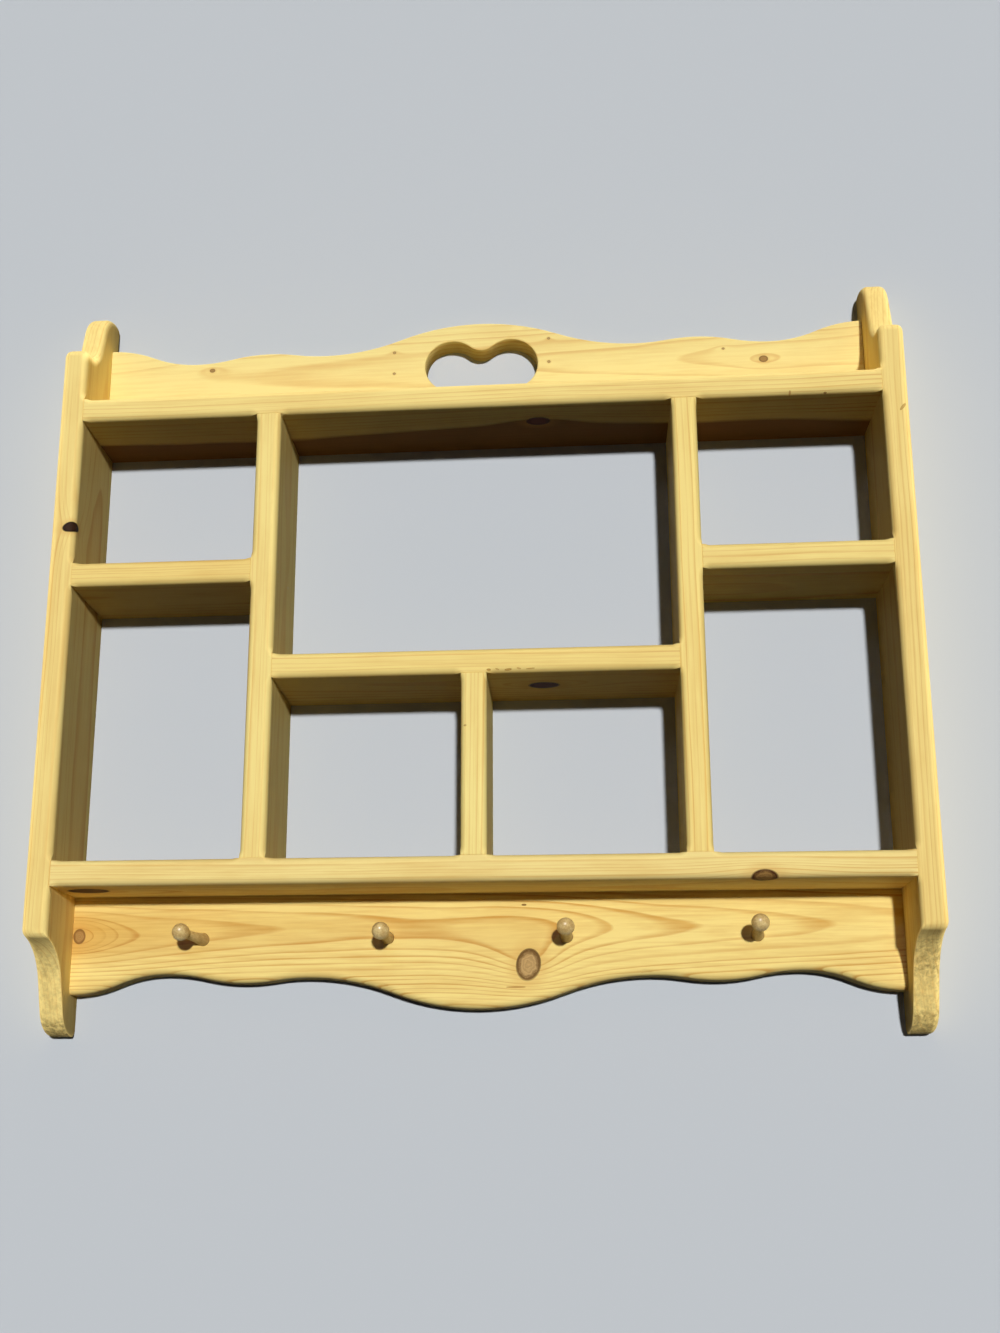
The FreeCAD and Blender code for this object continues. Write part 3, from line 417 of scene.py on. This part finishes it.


# Pegs. Turned from birch with a round head and a waisted shank, left with a thin waxy finish and
# glued into the rail. Hands have greyed the heads, and the shanks are darker where they meet the rail.
def waxed_birch():
    """Close-grained pale wood with short fine streaks along each peg."""
    streak_length = 14.3
    streak_width = 0.833
    blotch_size = 3.85
    material, tree, shader, place = new_material("waxed_birch_pegs")
    along = add_node(tree, "ShaderNodeVectorMath", {
        0: place, 1: (1000 / streak_width, 1000 / streak_length, 1000 / streak_width)}, operation="MULTIPLY")
    streaks = add_node(tree, "ShaderNodeTexNoise", {
        "Vector": along, "Scale": 1, "Detail": 3, "Roughness": 0.6})
    blotches = add_node(tree, "ShaderNodeTexNoise", {
        "Vector": place, "Scale": 1000 / blotch_size, "Detail": 2})
    grey = add_node(tree, "ShaderNodeMath", {0: streaks, 1: blotches}, operation="ADD")
    shade = add_node(tree, "ShaderNodeMapRange", {"Value": grey, "From Min": 0.75, "From Max": 1.25})
    wood = add_node(tree, "ShaderNodeMix", {
        0: shade, 6: linear("E4CA8A"), 7: linear("BE9A5A")}, data_type="RGBA")
    # The shank turns darker from 40 mm off the wall and is darkest at the rail's face
    reach = add_node(tree, "ShaderNodeSeparateXYZ", {0: place}).outputs["Y"]
    foot = add_node(tree, "ShaderNodeMapRange", {
        "Value": reach, "From Min": -0.04, "From Max": -0.019, "To Max": 0.6,
    }, interpolation_type="SMOOTHSTEP")
    darker_at_rail = add_node(tree, "ShaderNodeMix", {
        0: foot, 6: wood.outputs[2], 7: linear("9A7A44")}, data_type="RGBA").outputs[2]
    gloss = add_node(tree, "ShaderNodeMapRange", {"Value": blotches, "To Min": 0.26, "To Max": 0.42})
    bump = add_node(tree, "ShaderNodeBump", {"Height": streaks, "Strength": 0.15, "Distance": 0.0002})
    feed(tree, shader, {"Base Color": darker_at_rail, "Roughness": gloss, "Normal": bump, "IOR": 1.5})
    return material


birch = waxed_birch()
peg_easing = 0.0002
for number in (1, 2, 3, 4):
    eased(f"peg_{number}", f"peg_{number}_turned", peg_easing, birch)


# Dowels. Plain beech pins in ten groups, glued into the butt joints, where nothing of them shows.
# Bare beech is a pinkish tan with short darker flecks.
def bare_beech():
    """Dull tan wood with fine flecks, which also make it a little rough."""
    fleck_size = 1.11
    material, tree, shader, place = new_material("bare_beech_dowels")
    flecks = add_node(tree, "ShaderNodeTexNoise", {
        "Vector": place, "Scale": 1000 / fleck_size, "Detail": 3, "Roughness": 0.6})
    wood = add_node(tree, "ShaderNodeMix", {
        0: flecks, 6: linear("D9B98C"), 7: linear("B58A5C")}, data_type="RGBA").outputs[2]
    grain = add_node(tree, "ShaderNodeMapRange", {"Value": flecks, "To Min": 0.55, "To Max": 0.75})
    bump = add_node(tree, "ShaderNodeBump", {"Height": flecks, "Strength": 0.2, "Distance": 0.0002})
    feed(tree, shader, {"Base Color": wood, "Roughness": grain, "Normal": bump})
    return material


beech = bare_beech()
for node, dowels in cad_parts.items():
    if node.endswith("_dowels"):
        dowels.material_slots[0].material = beech


# Hangers. Two stamped keyhole plates of zinc-plated steel, let in flush with the back of the top
# rail, and the four slotted countersunk screws that hold them.
def zinc_plate():
    """Thin bright plating with a faint spangle and rolling lines, rubbed duller in patches."""
    spangle_size = 2
    line_spacing = 0.4
    line_length = 25
    dull_patch = 7.14
    material, tree, shader, place = new_material("zinc_plated_steel_hangers")
    spangle = add_node(tree, "ShaderNodeTexVoronoi", {"Vector": place, "Scale": 1000 / spangle_size})
    upright = add_node(tree, "ShaderNodeVectorMath", {
        0: place, 1: (1000 / line_spacing, 1000 / line_spacing, 1000 / line_length)}, operation="MULTIPLY")
    lines = add_node(tree, "ShaderNodeTexNoise", {"Vector": upright, "Scale": 1, "Detail": 2})
    dull = add_node(tree, "ShaderNodeTexNoise", {"Vector": place, "Scale": 1000 / dull_patch, "Detail": 3})
    tint = add_node(tree, "ShaderNodeMath", {0: spangle.outputs["Distance"], 1: dull}, operation="MULTIPLY")
    metal = add_node(tree, "ShaderNodeMix", {
        0: tint, 6: linear("D3D5D6"), 7: linear("9A9EA2")}, data_type="RGBA").outputs[2]
    rub = add_node(tree, "ShaderNodeMapRange", {
        "Value": dull, "From Min": 0.3, "From Max": 0.7, "To Min": 0.28, "To Max": 0.5})
    bump = add_node(tree, "ShaderNodeBump", {"Height": lines, "Strength": 0.12, "Distance": 0.0001})
    feed(tree, shader, {"Base Color": metal, "Roughness": rub, "Normal": bump, "Metallic": 1})
    return material


zinc = zinc_plate()
plate_easing = 0.0002
for side in ("left", "right"):
    eased(f"{side}_hanger_plate", f"{side}_keyhole_plate", plate_easing, zinc)
screw_easing = 0.0001
eased("hanger_screws", "keyhole_plate_screws", screw_easing, zinc)


# Studio. A plain pale wall that the shelf hangs on and a floor below it, both seen from their lit
# side only, so that the back of the shelf can be looked at. They are pale to the eye and dark to
# bounced light, as a lit front with deep shelves needs.
def seen_rays(tree):
    """1 for what the eye sees, straight on or by reflection, and 0 for bounced light."""
    rays = add_node(tree, "ShaderNodeLightPath", {}).outputs
    seen = add_node(tree, "ShaderNodeMath", {
        0: rays["Is Camera Ray"], 1: rays["Is Glossy Ray"]}, operation="ADD")
    return add_node(tree, "ShaderNodeMath", {
        0: seen, 1: rays["Is Transmission Ray"]}, operation="ADD", use_clamp=True)


# Each sheet has a place, a tip in degrees and a shade. The floor gets less light than the wall, so
# its paper is paler. The wall stands a little forward, so that the flat backs of the boards show.
sheets = {
    "pale_wall": ((0, -0.0006, -0.2), 90, "C6CBD0"),
    "pale_floor": ((0, 0, -1.1), 0, "EEF1F4"),
}
sheet_size = 8
for name, (location, tip, shade) in sheets.items():
    paper = bpy.data.materials.new(f"{name}_paper")
    paper.use_nodes = True
    paper_tree = paper.node_tree
    paper_tree.nodes.remove(paper_tree.nodes["Principled BSDF"])
    pale = add_node(paper_tree, "ShaderNodeBsdfDiffuse", {"Color": linear(shade)})
    deep = add_node(paper_tree, "ShaderNodeBsdfDiffuse", {"Color": linear("2A2C30")})
    front = add_node(paper_tree, "ShaderNodeMixShader", {0: seen_rays(paper_tree), 1: deep, 2: pale})
    behind = add_node(paper_tree, "ShaderNodeNewGeometry", {}).outputs["Backfacing"]
    gone = add_node(paper_tree, "ShaderNodeBsdfTransparent", {})
    surface = add_node(paper_tree, "ShaderNodeMixShader", {0: behind, 1: front, 2: gone})
    feed(paper_tree, paper_tree.nodes["Material Output"], {"Surface": surface})
    bpy.ops.mesh.primitive_plane_add(size=sheet_size, location=location, rotation=(math.radians(tip), 0, 0))
    sheet = bpy.context.object
    sheet.name = name
    sheet.data.materials.append(paper)

world = bpy.data.worlds.new("studio")
bpy.context.scene.world = world
world.use_nodes = True
world_tree = world.node_tree
ambient = add_node(world_tree, "ShaderNodeBackground", {"Color": linear("FFD9A0"), "Strength": 0.018})
backdrop = add_node(world_tree, "ShaderNodeBackground", {"Color": linear("C6CBD0"), "Strength": 1})
sky = add_node(world_tree, "ShaderNodeMixShader", {0: seen_rays(world_tree), 1: ambient, 2: backdrop})
feed(world_tree, world_tree.nodes["World Output"], {"Surface": sky})

# The key lamp is far in front, a little above and to the right. The next four shine straight on the
# sides, top and back, which the key doesn't reach. Low light would leave white streaks in the
# varnish, so the glint lamp, higher up, is the only one that shows in the gloss. Each lamp has a
# tip, a roll and a swing in degrees, a strength, and a spread in degrees.
lamps = {
    "key_lamp": (83, 0, 8.4, 2.93, 3),
    "left_lamp": (0, -90, 0, 2.2, 0.5),
    "right_lamp": (0, 90, 0, 2.2, 0.5),
    "top_lamp": (0, 0, 0, 1.5, 0.5),
    "back_lamp": (-90, 0, 0, 2.4, 0.5),
    "glint_lamp": (62, 0, -6, 3, 3),
}
for name, (tip, roll, swing, strength, spread) in lamps.items():
    turn = [math.radians(angle) for angle in (tip, roll, swing)]
    bpy.ops.object.light_add(type="SUN", rotation=turn)
    lamp = bpy.context.object
    lamp.name = name
    lamp.data.energy = strength
    lamp.data.angle = math.radians(spread)
    lamp.visible_glossy = name == "glint_lamp"
    lamp.visible_diffuse = name != "glint_lamp"

# The camera stands where the photo was taken from, below the middle and close, as fitted from the
# corners of the boards.
camera_turn = [math.radians(angle) for angle in (103.621, -0.102, 4.626)]
bpy.ops.object.camera_add(location=(0.0732, -1.0060, -0.5531), rotation=camera_turn)
camera = bpy.context.object
camera.data.sensor_width = 36
camera.data.lens = 38.346
camera.data.shift_x = 0.02325
camera.data.shift_y = 0.09006
bpy.context.scene.camera = camera
bpy.context.scene.view_settings.view_transform = "Standard"
